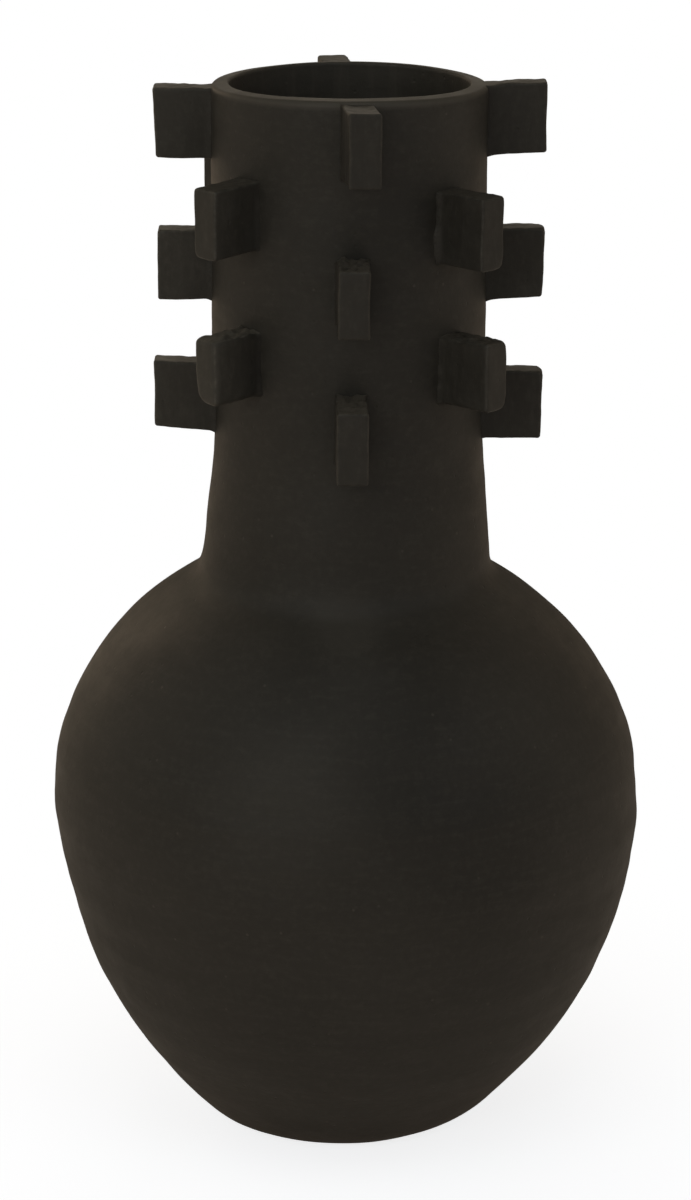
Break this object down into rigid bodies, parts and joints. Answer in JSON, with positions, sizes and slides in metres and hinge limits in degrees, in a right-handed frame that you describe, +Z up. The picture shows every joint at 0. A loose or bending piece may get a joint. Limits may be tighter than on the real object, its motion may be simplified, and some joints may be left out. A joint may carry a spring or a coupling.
{
  "type": "black clay vase",
  "caption": "Unglazed black clay vase with a round belly and a tall waisted neck ringed by staggered columns of small rectangular tabs.",
  "frame": {"origin": "centre of the flat underside, on the vessel's axis", "axes": "+Z up along the vessel's axis, -Y to the front, +X to the viewer's right"},
  "size_m": [0.2508, 0.2508, 0.45],
  "materials": {
    "black_clay": "unglazed, burnished to a soft low sheen"
  },
  "bodies": {
    "root": {"foot_disc": "black_clay", "belly_lower": "black_clay", "belly_upper": "black_clay", "neck": "black_clay", "tab_front_top": "black_clay", "tab_front_middle": "black_clay", "tab_front_bottom": "black_clay", "tab_right_top": "black_clay", "tab_right_middle": "black_clay", "tab_right_bottom": "black_clay", "tab_back_top": "black_clay", "tab_back_middle": "black_clay", "tab_back_bottom": "black_clay", "tab_left_top": "black_clay", "tab_left_middle": "black_clay", "tab_left_bottom": "black_clay", "tab_front_right_upper": "black_clay", "tab_front_right_lower": "black_clay", "tab_back_right_upper": "black_clay", "tab_back_right_lower": "black_clay", "tab_back_left_upper": "black_clay", "tab_back_left_lower": "black_clay", "tab_front_left_upper": "black_clay", "tab_front_left_lower": "black_clay"}
  },
  "joints": []
}
